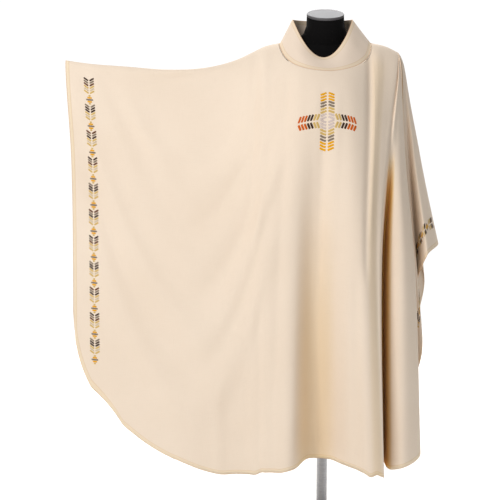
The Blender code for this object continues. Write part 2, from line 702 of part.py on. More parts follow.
def main():
    for piece in list(bpy.data.objects):
        bpy.data.objects.remove(piece, do_unlink=True)
    collection = bpy.data.collections.new(OBJECT_NAME)
    bpy.context.scene.collection.children.link(collection)
    materials = {
        "front": new_material("cloth_front", (0.80, 0.72, 0.63), 0.75),
        "back": new_material("cloth_back", (0.78, 0.70, 0.61), 0.75),
        "collar": new_material("cloth_collar", (0.72, 0.62, 0.54), 0.75),
        "cover": new_material("form_cover", (0.012, 0.011, 0.012), 0.85),
        "cap": new_material("cap_grey", (0.22, 0.215, 0.22), 0.55),
        "pole": new_material("pole_steel", (0.35, 0.35, 0.36), 0.35, 1.0),
        "base": new_material("base_black", (0.02, 0.02, 0.022), 0.45),
    }
    front = Panel(1, FRONT_GRAIN, FRONT_SWAGS, FRONT_NECK_DEPTH, FRONT_NECK_SHAPING)
    back = Panel(-1, BACK_GRAIN, BACK_SWAGS, BACK_NECK_DEPTH, BACK_NECK_SHAPING)
    front_neck = build_panel("front_panel", front, materials["front"], collection)
    back_neck = build_panel("back_panel", back, materials["back"], collection)
    build_collar(front_neck, back_neck, materials["collar"], collection)
    build_form(materials, collection)
    build_cap(materials["cap"], collection)
    build_stand(materials, collection)


main()
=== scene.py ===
"""Chasuble on a limbless dress form: sewn cloth, embroidery, finishes, light and camera.

The cloth hangs by the same named sizes and fold tables as its solids, on a finer grid, with soft
creases added. Units are metres, +Z is up and the front faces -Y.
"""

import math

import bpy
import numpy as np
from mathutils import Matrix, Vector


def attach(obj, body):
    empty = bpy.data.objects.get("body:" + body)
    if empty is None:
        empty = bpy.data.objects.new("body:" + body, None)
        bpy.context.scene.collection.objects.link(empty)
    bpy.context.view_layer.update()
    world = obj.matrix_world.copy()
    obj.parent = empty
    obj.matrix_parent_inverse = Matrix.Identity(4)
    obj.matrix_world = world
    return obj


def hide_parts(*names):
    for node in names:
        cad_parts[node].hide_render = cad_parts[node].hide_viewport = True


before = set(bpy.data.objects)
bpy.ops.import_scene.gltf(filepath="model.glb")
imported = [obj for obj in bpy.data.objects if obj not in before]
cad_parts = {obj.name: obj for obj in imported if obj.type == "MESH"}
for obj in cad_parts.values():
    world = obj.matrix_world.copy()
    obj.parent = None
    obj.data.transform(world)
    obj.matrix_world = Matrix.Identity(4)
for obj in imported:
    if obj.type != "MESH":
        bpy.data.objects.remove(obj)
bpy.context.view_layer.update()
scene = bpy.context.scene

# Cut of one panel, flat
HALF_SPAN = 0.800
CUT_LENGTH = 1.270
CORNER_RADIUS = 0.515
NECK_HALF_WIDTH = 0.136
FRONT_NECK_DEPTH = 0.165
BACK_NECK_DEPTH = 0.105
FRONT_NECK_SHAPING = 0.064
BACK_NECK_SHAPING = 0.030
SHAPING_HALF_WIDTH = 0.300
RAISED_TAKE_UP = 0.056
RAISED_TAKE_UP_CENTRE = -0.520
RAISED_TAKE_UP_OUTER_WIDTH = 0.270
RAISED_TAKE_UP_INNER_WIDTH = 0.330
CORNER_DIP = 0.020
CORNER_DIP_CENTRE = -0.690
CORNER_DIP_HALF_WIDTH = 0.050

# Walls and seams
SEAM_GAP = 0.0003
SEAM_STRIP = 0.003

# Shoulder line
SHOULDER_TIP = 0.213
RAISED_SHRINK = 0.944
SHOULDER_END_SLOPE = 0.80
RIDGE = (
    # x, height
    (-0.767, 1.434),
    (-0.704, 1.425),
    (-0.591, 1.416),
    (-0.460, 1.407),
    (-0.386, 1.409),
    (-0.318, 1.419),
    (-0.258, 1.437),
    (-SHOULDER_TIP, 1.458),
    (-0.180, 1.474),
    (-0.136, 1.484),
    (0.000, 1.490),
    (0.136, 1.484),
    (0.180, 1.474),
    (SHOULDER_TIP, 1.458),
)

# Distance down a grain line of the three stations of the fold tables
CHEST_STATION = 0.30
MIDDLE_STATION = 0.65
HEM_STATION = 1.25

# Grain lines: start on the shoulder line, angle below it, shoulder bend radius, then the plan
# position at the three stations
FRONT_GRAIN = (
    (-0.800, 90, 0.010, -0.753, -0.022, -0.7535, -0.030, -0.763, -0.050),
    (-0.600, 90, 0.014, -0.572, -0.050, -0.572, -0.070, -0.566, -0.090),
    (-0.420, 90, 0.020, -0.402, -0.080, -0.400, -0.112, -0.395, -0.130),
    (-0.260, 90, 0.036, -0.250, -0.115, -0.250, -0.155, -0.240, -0.168),
    (-0.150, 90, 0.070, -0.152, -0.165, -0.160, -0.200, -0.165, -0.212),
    (-0.080, 90, 0.105, -0.082, -0.196, -0.090, -0.216, -0.096, -0.235),
    (-0.025, 90, 0.125, -0.028, -0.202, -0.036, -0.188, -0.046, -0.142),
    (0.015, 90, 0.130, 0.012, -0.203, 0.004, -0.205, 0.006, -0.150),
    (0.070, 90, 0.110, 0.066, -0.200, 0.062, -0.240, 0.066, -0.218),
    (0.120, 90, 0.080, 0.112, -0.182, 0.104, -0.243, 0.118, -0.262),
    (0.170, 90, 0.058, 0.150, -0.162, 0.137, -0.220, 0.158, -0.254),
    (SHOULDER_TIP, 87.5, 0.045, 0.176, -0.148, 0.156, -0.198, 0.168, -0.222),
    (SHOULDER_TIP, 82, 0.042, 0.189, -0.134, 0.172, -0.085, 0.181, -0.075),
    (SHOULDER_TIP, 77.5, 0.040, 0.200, -0.128, 0.187, -0.169, 0.195, -0.176),
    (SHOULDER_TIP, 74.5, 0.038, 0.212, -0.120, 0.220, -0.184, 0.232, -0.198),
    (SHOULDER_TIP, 71.5, 0.036, 0.226, -0.096, 0.252, -0.148, 0.277, -0.152),
    (SHOULDER_TIP, 59, 0.034, 0.221, -0.048, 0.232, -0.046, 0.242, -0.050),
    (SHOULDER_TIP, 49, 0.032, 0.241, -0.042, 0.267, -0.085, 0.328, -0.100),
    (SHOULDER_TIP, 33, 0.030, 0.249, -0.027, 0.278, -0.022, 0.300, -0.028),
    (SHOULDER_TIP, 15, 0.030, 0.264, -0.040, 0.304, -0.115, 0.334, -0.170),
    (SHOULDER_TIP, 0, 0.030, 0.283, 0.000, 0.360, 0.000, 0.500, 0.000),
)
BACK_GRAIN = (
    (-0.800, 90, 0.010, -0.753, -0.022, -0.7535, -0.030, -0.763, -0.045),
    (-0.600, 90, 0.014, -0.572, -0.046, -0.572, -0.066, -0.566, -0.078),
    (-0.420, 90, 0.020, -0.402, -0.074, -0.402, -0.100, -0.398, -0.112),
    (-0.260, 90, 0.036, -0.252, -0.108, -0.252, -0.142, -0.250, -0.156),
    (-0.150, 90, 0.075, -0.152, -0.146, -0.160, -0.172, -0.170, -0.200),
    (-0.060, 90, 0.110, -0.062, -0.158, -0.072, -0.172, -0.085, -0.160),
    (0.020, 90, 0.120, 0.018, -0.160, 0.008, -0.186, -0.004, -0.212),
    (0.100, 90, 0.100, 0.096, -0.152, 0.090, -0.160, 0.080, -0.152),
    (0.170, 90, 0.060, 0.155, -0.140, 0.146, -0.184, 0.142, -0.220),
    (SHOULDER_TIP, 87, 0.045, 0.184, -0.126, 0.190, -0.170, 0.190, -0.196),
    (SHOULDER_TIP, 79, 0.040, 0.206, -0.104, 0.208, -0.094, 0.208, -0.098),
    (SHOULDER_TIP, 70, 0.036, 0.226, -0.094, 0.258, -0.150, 0.276, -0.168),
    (SHOULDER_TIP, 56, 0.034, 0.224, -0.040, 0.245, -0.048, 0.252, -0.052),
    (SHOULDER_TIP, 36, 0.032, 0.256, -0.044, 0.308, -0.066, 0.355, -0.082),
    (SHOULDER_TIP, 18, 0.030, 0.262, -0.024, 0.304, -0.024, 0.334, -0.032),
    (SHOULDER_TIP, 7, 0.030, 0.276, -0.020, 0.346, -0.034, 0.440, -0.050),
    (SHOULDER_TIP, 0, 0.030, 0.283, 0.000, 0.360, 0.000, 0.500, 0.000),
)

# Swags between the raised corner and the shoulder, in the flat cut: ends and lowest point
BACK_SWAGS = (
    (-0.68, 0.02, -0.42, 0.48, -0.16, 0.18, 0.012, 0.060),
    (-0.80, 0.06, -0.40, 0.78, -0.08, 0.24, 0.015, 0.070),
)
SWAG_BOW = 1.45
SWAG_FADE = 0.14

# Mesh of the cloth: where a mesh line meets the hem, and where it starts
HEM_SPREAD = (-HALF_SPAN, -0.290, -0.200, 0.168, SHOULDER_TIP)
NECK_CORNER = NECK_HALF_WIDTH + SEAM_STRIP
START_SPREAD = (-HALF_SPAN, -SHOULDER_TIP, -NECK_CORNER, NECK_CORNER, SHOULDER_TIP)

# Collar
COLLAR_TOP_HALF_WIDTH = 0.0885
COLLAR_TOP_SHIFT = -0.009
COLLAR_TOP_FRONT_Y = -0.084
COLLAR_TOP_BACK_Y = 0.076
COLLAR_TOP_SIDE_HEIGHT = 1.553
COLLAR_TOP_FRONT_HEIGHT = 1.443
COLLAR_TOP_BACK_HEIGHT = 1.549

# Soft creases on top of the large folds, in the flat cut: ends and lowest point, depth, half width
FRONT_SWAGS = (
    # left, left_drop, low, low_drop, right, right_drop, depth, width
    (-0.64, 0.02, -0.42, 0.40, -0.14, 0.16, 0.0075, 0.070),
    (-0.74, 0.02, -0.40, 0.58, -0.10, 0.18, 0.0095, 0.075),
    (-0.80, 0.05, -0.38, 0.80, -0.06, 0.22, 0.0125, 0.085),
    (-0.82, 0.30, -0.42, 1.02, -0.08, 0.50, 0.0110, 0.095),
)
FRONT_SOFT_SWAGS = (
    # left, left_drop, low, low_drop, right, right_drop, depth, width
    (-0.57, 0.012, -0.47, 0.014, -0.33, 0.012, 0.0050, 0.010),
    (-0.60, 0.034, -0.47, 0.040, -0.30, 0.030, -0.0045, 0.014),
    (-0.66, 0.01, -0.50, 0.24, -0.22, 0.10, 0.0025, 0.034),
    (-0.70, 0.02, -0.46, 0.32, -0.16, 0.12, -0.0025, 0.034),
    (-0.74, 0.03, -0.44, 0.49, -0.12, 0.17, -0.0025, 0.038),
    (-0.78, 0.06, -0.40, 0.69, -0.09, 0.22, -0.0030, 0.042),
    (-0.80, 0.16, -0.42, 0.91, -0.08, 0.34, -0.0030, 0.048),
    (-0.50, 0.16, -0.30, 0.34, -0.13, 0.16, 0.0025, 0.030),
    (-0.40, 0.26, -0.24, 0.42, -0.10, 0.20, -0.0025, 0.030),
)
FRONT_CREASES = (
    # place, slant, top_drop, low_drop, depth, width
    (0.128, -0.004, 0.05, 0.72, -0.0060, 0.011),
    (0.152, -0.010, 0.04, 0.60, 0.0035, 0.010),
    (-0.010, 0.000, 0.24, 1.40, -0.0040, 0.010),
    (0.030, -0.010, 0.25, 0.70, 0.0030, 0.012),
    (-0.112, -0.020, 0.16, 1.00, -0.0040, 0.016),
    (-0.178, -0.030, 0.06, 0.55, 0.0035, 0.014),
    (-0.205, -0.050, 0.04, 0.46, -0.0035, 0.012),
    (0.090, 0.000, 0.75, 1.45, -0.0045, 0.014),
    (-0.190, 0.000, 0.80, 1.45, -0.0040, 0.020),
    (-0.340, 0.000, 0.95, 1.45, 0.0050, 0.024),
    (0.565, 0.000, 0.03, 0.75, -0.0120, 0.030),
    (0.470, 0.000, 0.03, 0.60, 0.0050, 0.030),
    (0.270, 0.000, 0.05, 0.42, -0.0060, 0.022),
)
BACK_SOFT_SWAGS = (
    (-0.60, 0.034, -0.47, 0.040, -0.30, 0.030, -0.0045, 0.014),
    (-0.72, 0.02, -0.48, 0.34, -0.16, 0.12, -0.0045, 0.034),
    (-0.78, 0.05, -0.42, 0.62, -0.09, 0.20, -0.0055, 0.040),
    (-0.80, 0.20, -0.44, 0.96, -0.08, 0.40, 0.0050, 0.050),
)
BACK_CREASES = (
    (0.100, -0.004, 0.06, 0.80, -0.0050, 0.014),
    (0.000, 0.000, 0.16, 1.30, -0.0040, 0.014),
    (-0.100, -0.010, 0.10, 0.90, 0.0040, 0.016),
    (-0.200, -0.030, 0.05, 0.50, -0.0035, 0.014),
    (0.150, -0.010, 0.40, 1.30, 0.0040, 0.012),
)
SOFT_SWAG_BOW = 1.6
CREASE_FADE = 0.10

# Painted shade in the deep folds, tinted ochre as light bounced inside them: places where it begins, is full,
# is still full and ends, the drops where it begins and is full, and its strength
FRONT_PAINTED_FOLD_SHADE = (
    (0.262, 0.276, 0.3435, 0.3500, 0.30, 0.46, 1.00),
    (0.504, 0.545, 0.5900, 0.6350, 0.03, 0.12, 0.55),
    (-0.085, -0.040, 0.0050, 0.0450, 0.45, 1.05, 0.26),
    (0.126, 0.146, 0.1620, 0.1850, 0.03, 0.12, 0.16),
)
BACK_PAINTED_FOLD_SHADE = (
    (0.295, 0.315, 0.3600, 0.3900, 0.30, 0.46, 0.60),
    (0.540, 0.575, 0.6100, 0.6600, 0.05, 0.16, 0.45),
)

# Grid of the cloth, finer than that of its solids
COLUMN_STEP = 0.0075
FAN_STEP = 0.75
CLOTH_ROWS = 150
ROW_CROWDING = 1.25
LENGTH_STEPS = 48
LENGTH_TOLERANCE = 1e-6
CLOTH_THICKNESS = 0.0010
COLLAR_THICKNESS = 0.0020
COLLAR_RINGS = 22
COLLAR_EDGE_ROUND = 0.0006
STATIONS = (("chest", CHEST_STATION), ("middle", MIDDLE_STATION), ("hem", HEM_STATION))
GRAIN_COLUMNS = ("start", "angle", "bend", "chest_x", "chest_y", "middle_x", "middle_y", "hem_x", "hem_y")

# Soft dents and bulges of the collar: turn in degrees from the front, share of its height, depth, spans
COLLAR_DENTS = (
    (-38, 0.45, 0.0030, 13, 0.30),
    (-8, 0.35, -0.0020, 14, 0.30),
    (26, 0.50, 0.0026, 12, 0.32),
    (58, 0.40, -0.0024, 12, 0.35),
    (-68, 0.50, -0.0022, 12, 0.35),
    (130, 0.50, 0.0020, 20, 0.40),
    (-140, 0.50, 0.0020, 20, 0.40),
    (180, 0.45, -0.0020, 20, 0.40),
)

# Embroidery: satin bars in slanted pairs, sizes in metres on the flat cloth
BAR_HEIGHT = 0.0008
BAR_SINK = 0.0003
BAR_ALONG = (-1.0, -0.88, -0.35, 0.35, 0.88, 1.0)
BAR_ACROSS = (-1.0, -0.72, 0.0, 0.72, 1.0)
PROBE = 0.0012
CROSS_HEIGHT = 1.265
CROSS_ARM = 0.088
CROSS_PITCH = 0.0088
CROSS_BAR_LENGTH = 0.0190
CROSS_BAR_WIDTH = 0.0068
CROSS_SLANT = 22
BORDER_ACROSS = 0.728
BORDER_TOP = 0.050
BORDER_PERIOD = 0.078
BORDER_MOTIFS = 11
BORDER_PITCH = 0.0074
BORDER_BAR_LENGTH = 0.0165
BORDER_BAR_WIDTH = 0.0054
BORDER_SLANT = 30
LOZENGE_LENGTHS = (0.007, 0.015, 0.023, 0.015, 0.007)
LOZENGE_PITCH = 0.0058

# Camera and light
CAMERA_PLACE = (-0.222, -4.0, 1.45)
CAMERA_TARGET_HEIGHT = 0.867
SENSOR_WIDTH = 36.0
LENS = 96.4

# Floor, world and lamps: name, place, target, width, height, power and colour
FLOOR_RADIUS = 3.2
FLOOR_SIDES = 96
FLOOR_GLOW = 0.12
WORLD_LIGHT = 0.33
BACKDROP_LIGHT = 1.05
LAMPS = (
    ("key", (-1.9, -2.9, 3.4), (-0.15, 0, 1.15), 1.6, 1.6, 98, (1.0, 0.98, 0.955)),
    ("top", (-0.2, 2.5, 2.9), (-0.2, 2.3, 0), 4.6, 2.4, 170, (1, 1, 1)),
)

# Wave texture: its scale for one wave a metre
WAVE_UNIT = math.pi / 10

# Threads, in display colours
THREADS = {
    "amber": (255, 184, 8),
    "orange": (226, 104, 6),
    "brown": (66, 42, 28),
    "taupe": (150, 134, 116),
    "rust": (112, 66, 36),
    "gold": (232, 196, 118),
    "pale": (234, 214, 184),
    "lilac": (232, 214, 206),
}


def display(red, green, blue):
    """Linear colour of a display colour given from 0 to 255."""
    values = np.array((red, green, blue)) / 255
    linear = np.where(values <= 0.04045, values / 12.92, ((values + 0.055) / 1.055) ** 2.4)
    return (*linear.tolist(), 1.0)


def smooth_table(at, knots, values):
    """Smooth curve through the knots; values may have columns."""
    at = np.atleast_1d(np.asarray(at, float))
    knots = np.asarray(knots, float)
    values = np.asarray(values, float).reshape(len(knots), -1)
    step = np.diff(knots)[:, None]
    slope = np.diff(values, axis=0) / step
    tangent = np.zeros_like(values)
    tangent[0] = slope[0]
    tangent[-1] = slope[-1]
    tangent[1:-1] = (slope[:-1] * step[1:] + slope[1:] * step[:-1]) / (step[:-1] + step[1:])
    place = np.clip(np.searchsorted(knots, at, side="right") - 1, 0, len(knots) - 2)
    width = step[place]
    share = (at[:, None] - knots[place][:, None]) / width
    rise = share * share * (3 - 2 * share)
    start = share * (1 - share) ** 2
    finish = share * share * (share - 1)
    low = values[place]
    high = values[place + 1]
    return low + (high - low) * rise + width * (start * tangent[place] + finish * tangent[place + 1])


def along_line(drop, chest, middle, hem):
    """Plan offset at a distance down the line, from its values at the three stations."""
    knots = (0.0, CHEST_STATION, MIDDLE_STATION, HEM_STATION)
    values = (np.zeros_like(chest), chest, middle, hem)
    tangents = (
        np.zeros_like(chest),
        middle / MIDDLE_STATION,
        (hem - chest) / (HEM_STATION - CHEST_STATION),
        (hem - middle) / (HEM_STATION - MIDDLE_STATION),
    )
    result = np.zeros_like(drop)
    for index in range(3):
        low = knots[index]
        width = knots[index + 1] - low
        share = (drop - low) / width
        curve = values[index] + (values[index + 1] - values[index]) * share * share * (3 - 2 * share)
        curve = curve + width * share * (1 - share) ** 2 * tangents[index]
        curve = curve + width * share * share * (share - 1) * tangents[index + 1]
        inside = (drop >= low) if index == 2 else (drop >= low) & (drop < low + width)
        result = np.where(inside, curve, result)
    return result


def fade(value):
    value = np.clip(value, 0, 1)
    return value * value * (3 - 2 * value)


class Panel:
    """One panel of the chasuble: its cut and the way it hangs. Side is 1 in front and -1 behind."""

    def __init__(self, side, grain, swags, soft_swags, creases, painted_fold_shades, neck_depth, neck_shaping):
        self.side = side
        self.swags = [(row, SWAG_BOW) for row in swags] + [(row, SOFT_SWAG_BOW) for row in soft_swags]
        self.creases = creases
        self.painted_fold_shades = painted_fold_shades
        self.neck_depth = neck_depth
        self.neck_shaping = neck_shaping
        table = np.array(grain, float)
        mirrored = table[-2].copy()
        for column in ("angle", "chest_y", "middle_y", "hem_y"):
            mirrored[GRAIN_COLUMNS.index(column)] *= -1
        table = np.vstack((table, mirrored))
        self.rows = table
        self.places = family_place(table[:, 0], table[:, 1])

    def plan(self, place, drop):
        """Plan position of points that lie at a distance down the grain lines."""
        row = smooth_table(place, self.places, self.rows).T
        column = dict(zip(GRAIN_COLUMNS, row))
        start = np.minimum(place, SHOULDER_TIP)
        angle = np.radians(90 - 90 * np.maximum(place - SHOULDER_TIP, 0))
        start_x = ridge_x(start)
        bend = column["bend"]
        run = bend * (1 - np.exp(-drop / bend))
        lean_x = np.cos(angle) * SHOULDER_END_SLOPE
        lean_y = -np.sin(angle)
        offset_x = []
        offset_y = []
        for name, station in STATIONS:
            station_run = bend * (1 - np.exp(-station / bend))
            offset_x.append(column[name + "_x"] - start_x - lean_x * station_run)
            offset_y.append(column[name + "_y"] - lean_y * station_run)
        x = start_x + lean_x * run + along_line(drop, *offset_x)
        y = lean_y * run + along_line(drop, *offset_y)
        return x, y - self.swag(place, drop) - self.crease(place, drop)

    def swag(self, place, drop):
        """Outward bulge of the swags."""
        total = np.zeros_like(drop)
        for (left, left_drop, low, low_drop, right, right_drop, depth, width), bow in self.swags:
            to_left = np.clip((low - place) / (low - left), 0, 1) ** bow
            to_right = np.clip((place - low) / (right - low), 0, 1) ** bow
            line = low_drop + (left_drop - low_drop) * to_left + (right_drop - low_drop) * to_right
            ends = np.clip((place - left) / SWAG_FADE, 0, 1) * np.clip((right - place) / SWAG_FADE, 0, 1)
            total = total + depth * ends * np.exp(-((drop - line) / width) ** 2)
        return total

    def crease(self, place, drop):
        """Outward bulge of the soft upright creases."""
        total = np.zeros_like(drop)
        for start, slant, top_drop, low_drop, depth, width in self.creases:
            ends = fade((drop - top_drop) / CREASE_FADE + 0.5) * fade((low_drop - drop) / CREASE_FADE + 0.5)
            total = total + depth * ends * np.exp(-((place - start - slant * drop) / width) ** 2)
        return total

    def position(self, place, drop):
        """Points in space; the height follows from the length already used up along the line."""
        place = np.atleast_1d(np.asarray(place, float))
        drop = np.atleast_1d(np.asarray(drop, float))
        height = ridge_height(np.minimum(place, SHOULDER_TIP))
        x_before, y_before = self.plan(place, np.zeros_like(drop))
        length_before = np.zeros_like(drop)
        for step in range(1, LENGTH_STEPS + 1):
            length = drop * (step / LENGTH_STEPS) ** 2
            x, y = self.plan(place, length)
            used = (x - x_before) ** 2 + (y - y_before) ** 2
            height = height - np.sqrt(np.maximum((length - length_before) ** 2 - used, 0))
            x_before = x
            y_before = y
            length_before = length
        return np.stack((x_before, self.side * y_before, height), axis=-1)

    def on_cut(self, across, down):
        """Points in space of places in the flat cut, also in the part that fans around the shoulder tip."""
        across = np.atleast_1d(np.asarray(across, float))
        down = np.atleast_1d(np.asarray(down, float))
        beyond = np.maximum(across - SHOULDER_TIP, 0)
        degrees = np.degrees(np.arctan2(down, beyond))
        place = np.where(beyond > 0, family_place(SHOULDER_TIP, degrees), across)
        points = self.position(place, np.where(beyond > 0, np.hypot(beyond, down), down))
        strip = np.where(beyond > 0, SEAM_STRIP * (1 - np.sin(np.radians(degrees))), 0)
        points[:, 1] -= self.side * (strip + SEAM_GAP / 2)
        return points

    def cut_depth(self, across):
        """Depth of the cut below the shoulder line at a place across it."""
        corner = np.maximum(np.abs(across) - (HALF_SPAN - CORNER_RADIUS), 0)
        rounding = CORNER_RADIUS - np.sqrt(np.maximum(CORNER_RADIUS ** 2 - corner ** 2, 0))
        shaping = np.maximum(1 - (across / SHAPING_HALF_WIDTH) ** 2, 0) ** 2
        past_centre = across - RAISED_TAKE_UP_CENTRE
        taken = past_centre / np.where(past_centre < 0, RAISED_TAKE_UP_OUTER_WIDTH, RAISED_TAKE_UP_INNER_WIDTH)
        take_up = RAISED_TAKE_UP * np.maximum(1 - taken ** 2, 0)
        dip = (across - CORNER_DIP_CENTRE) / CORNER_DIP_HALF_WIDTH
        take_up = take_up + CORNER_DIP * np.maximum(1 - dip ** 2, 0)
        return CUT_LENGTH - rounding + self.neck_shaping * shaping - take_up

    def edge_distance(self, across, down):
        """Distance in the flat cut from a place to the outer edge."""
        corner = np.maximum(np.abs(across) - (HALF_SPAN - CORNER_RADIUS), 0)
        slope = np.sqrt(np.maximum(CORNER_RADIUS ** 2 - corner ** 2, 0)) / CORNER_RADIUS
        to_hem = (self.cut_depth(across) - down) * slope
        return np.minimum(to_hem, HALF_SPAN - np.abs(across))

    def fan_length(self, degrees):
        """Distance from the shoulder tip to the edge of the cut, at an angle below the shoulder line."""
        angle = math.radians(degrees)
        low = 0.0
        high = HALF_SPAN + CUT_LENGTH
        while high - low > LENGTH_TOLERANCE:
            middle = (low + high) / 2
            across = SHOULDER_TIP + middle * math.cos(angle)
            inside = across <= HALF_SPAN and middle * math.sin(angle) <= self.cut_depth(across)
            low, high = (middle, high) if inside else (low, middle)
        return low

    def line_start(self, hem_across):
        """Where a mesh line leaves the shoulder line or the neck opening, flat."""
        if not starts_at_neck(hem_across):
            return float(np.interp(hem_across, HEM_SPREAD, START_SPREAD)), 0.0
        angle = neck_angle(hem_across)
        return NECK_HALF_WIDTH * math.sin(angle), self.neck_depth * math.cos(angle)

    def column_line(self, hem_across):
        """Flat places, with the grain line's number, of a mesh line from the top of the cut to the hem."""
        start_across, start_drop = self.line_start(hem_across)
        length = self.cut_depth(hem_across) - start_drop
        down = line_rows(length)
        spread = 1 - (1 - down / length) ** 2
        across = start_across + (hem_across - start_across) * spread
        drop = start_drop + down
        if starts_at_neck(hem_across):
            angle = neck_angle(hem_across)
            away = np.array((math.sin(angle) / NECK_HALF_WIDTH, math.cos(angle) / self.neck_depth))
            away *= SEAM_STRIP / np.linalg.norm(away)
            across[1] = start_across + away[0]
            drop[1] = start_drop + away[1]
        return np.column_stack((across, drop, across, drop))

    def fan_line(self, degrees):
        """Flat places, with the grain line's number, of a mesh line from the shoulder tip to the edge."""
        down = line_rows(self.fan_length(degrees))
        angle = math.radians(degrees)
        place = np.full(len(down), float(family_place(SHOULDER_TIP, degrees)))
        return np.column_stack((place, down, SHOULDER_TIP + down * math.cos(angle), down * math.sin(angle)))

    def mesh_lines(self, places, degrees):
        """Points in space with their flat places, for the lines down the cut and those of the fan."""
        flat = [self.column_line(across) for across in places] + [self.fan_line(angle) for angle in degrees]
        flat = np.vstack(flat)
        points = self.position(flat[:, 0], flat[:, 1])
        lines = np.column_stack((points, flat[:, 2:], np.zeros(len(flat)))).reshape(-1, CLOTH_ROWS, 6)
        # Strength of the painted shade in the deep folds
        lines[:, :, 5] = painted_fold_shade(self.painted_fold_shades, flat[:, 0], flat[:, 1]).reshape(-1, CLOTH_ROWS)
        for line, across in zip(lines, places):
            if not starts_at_neck(across):
                line[1, :3] = line[0, :3]
                line[1, 1] -= self.side * SEAM_STRIP
        for line, angle in zip(lines[len(places):], degrees):
            line[:, 1] -= self.side * SEAM_STRIP * (1 - math.sin(math.radians(angle)))
        return list(lines[:len(places)]), list(lines[len(places):])


def starts_at_neck(hem_across):
    return HEM_SPREAD[2] < hem_across < HEM_SPREAD[3]


def neck_angle(hem_across):
    """Turn around the neck opening of the mesh line that meets the hem at a place."""
    return math.pi * ((hem_across - HEM_SPREAD[2]) / (HEM_SPREAD[3] - HEM_SPREAD[2]) - 0.5)


def family_place(start, degrees):
    """One running number for the grain lines, along the shoulder line and then around its tip."""
    return np.asarray(start, float) + (90 - np.asarray(degrees, float)) / 90


def ridge_x(start):
    """Place in space of a point of the shoulder line; the raised side hangs in a shallow curve."""
    raised = np.minimum(start + SHOULDER_TIP, 0)
    return start - raised + raised * RAISED_SHRINK


def ridge_height(start):
    table = np.array(RIDGE)
    return smooth_table(ridge_x(start), table[:, 0], table[:, 1])[:, 0]


def line_rows(length):
    share = np.arange(CLOTH_ROWS - 1) / (CLOTH_ROWS - 2)
    return np.concatenate(((0.0,), SEAM_STRIP + (length - SEAM_STRIP) * share ** ROW_CROWDING))


def spaced(marks, step):
    """The marks, with even places between them no further apart than the step."""
    places = [marks[0]]
    for low, high in zip(marks[:-1], marks[1:]):
        count = max(1, math.ceil(abs(high - low) / step - LENGTH_TOLERANCE))
        places += [low + (high - low) * k / count for k in range(1, count + 1)]
    return places


def panel_mesh(panel):
    """Vertices of the open sheet with their flat places, its faces, and the vertices of its neck edge."""
    places = spaced(HEM_SPREAD, COLUMN_STEP)
    degrees = spaced((90.0, 0.0), FAN_STEP)
    lines, fan = panel.mesh_lines(places, degrees[1:])
    neck_lines = [k for k, across in enumerate(places) if starts_at_neck(across)]
    vertices = []
    indices = []
    for line in lines:
        indices.append(list(range(len(vertices), len(vertices) + len(line))))
        vertices += list(line)
    tip_inner = indices[-1][1]
    tip_outer = indices[-1][0]
    for line in fan:
        indices.append([tip_inner, tip_inner] + list(range(len(vertices), len(vertices) + len(line) - 2)))
        vertices += list(line[2:])
    indices.append([tip_outer, tip_outer] + list(range(len(vertices), len(vertices) + len(fan[-1]) - 2)))
    edge = fan[-1][2:].copy()
    edge[:, 1] = 0
    vertices += list(edge)
    neck = [indices[k] for k in neck_lines]
    before = indices[neck_lines[0] - 1]
    after = indices[neck_lines[-1] + 1]
    faces = []
    for left, right in zip(indices[:-1], indices[1:]):
        beside_opening = (left is before) or (right is after)
        for row in range(1 if beside_opening else 0, CLOTH_ROWS - 1):
            corners = [left[row], left[row + 1], right[row + 1], right[row]]
            corners = [corner for k, corner in enumerate(corners) if corner != corners[k - 1]]
            if len(corners) >= 3:
                faces.append(corners)
    opening_ends = []
    for across in (-NECK_HALF_WIDTH, NECK_HALF_WIDTH):
        x, y, z = panel.position(across, 0)[0]
        opening_ends.append([len(vertices), len(vertices) + 1])
        vertices.append(np.array((x, 0.0, z, across, 0.0, 0.0)))
        vertices.append(np.array((x, -panel.side * SEAM_STRIP, z, across, 0.0, 0.0)))
    first, last = opening_ends
    faces += [[before[0], before[1], first[1], first[0]], [first[1], before[1], neck[0][1], neck[0][0]]]
    faces += [[last[0], last[1], after[1], after[0]], [neck[-1][0], neck[-1][1], after[1], last[1]]]
    vertices = np.array(vertices)
    vertices[:, 1] -= panel.side * SEAM_GAP / 2
    edge_line = first + [index[0] for index in neck] + last[::-1]
    return vertices, faces, edge_line


def new_piece(name, vertices, faces, material):
    mesh = bpy.data.meshes.new(name)
    mesh.from_pydata([tuple(map(float, point[:3])) for point in vertices], [], faces)
    for one in material if isinstance(material, (list, tuple)) else [material]:
        mesh.materials.append(one)
    mesh.shade_smooth()
    piece = bpy.data.objects.new(name, mesh)
    scene.collection.objects.link(piece)
    return piece


def lay_value(mesh, name, values):
    attribute = mesh.attributes.new(name, "FLOAT", "POINT")
    attribute.data.foreach_set("value", np.asarray(values, np.float32))


def painted_fold_shade(painted_fold_shades, place, drop):
    """Strength of the painted shade in the deep folds, tinted ochre as light bounced inside them."""
    total = np.zeros_like(place)
    for left, left_full, right_full, right, top_drop, full_drop, strength in painted_fold_shades:
        inside = np.minimum((place - left) / (left_full - left), (right - place) / (right - right_full))
        below = fade((drop - top_drop) / (full_drop - top_drop))
        total = np.maximum(total, strength * fade(inside) * below)
    return total


def lay_flat_places(mesh, vertices, edge_distances):
    """Flat places in the cut as the cloth's own map, and its distance to the edge as a value."""
    layer = mesh.uv_layers.new(name="cut")
    corner = np.zeros(len(mesh.loops), np.int32)
    mesh.loops.foreach_get("vertex_index", corner)
    layer.data.foreach_set("uv", vertices[corner, 3:5].astype(np.float32).ravel())
    lay_value(mesh, "edge", edge_distances)


def add_wall(piece, wall):
    modifier = piece.modifiers.new("wall", "SOLIDIFY")
    modifier.thickness = wall
    modifier.offset = -1
    modifier.use_rim = True
    bpy.context.view_layer.objects.active = piece
    with bpy.context.temp_override(object=piece, active_object=piece, selected_objects=[piece]):
        bpy.ops.object.modifier_apply(modifier=modifier.name)


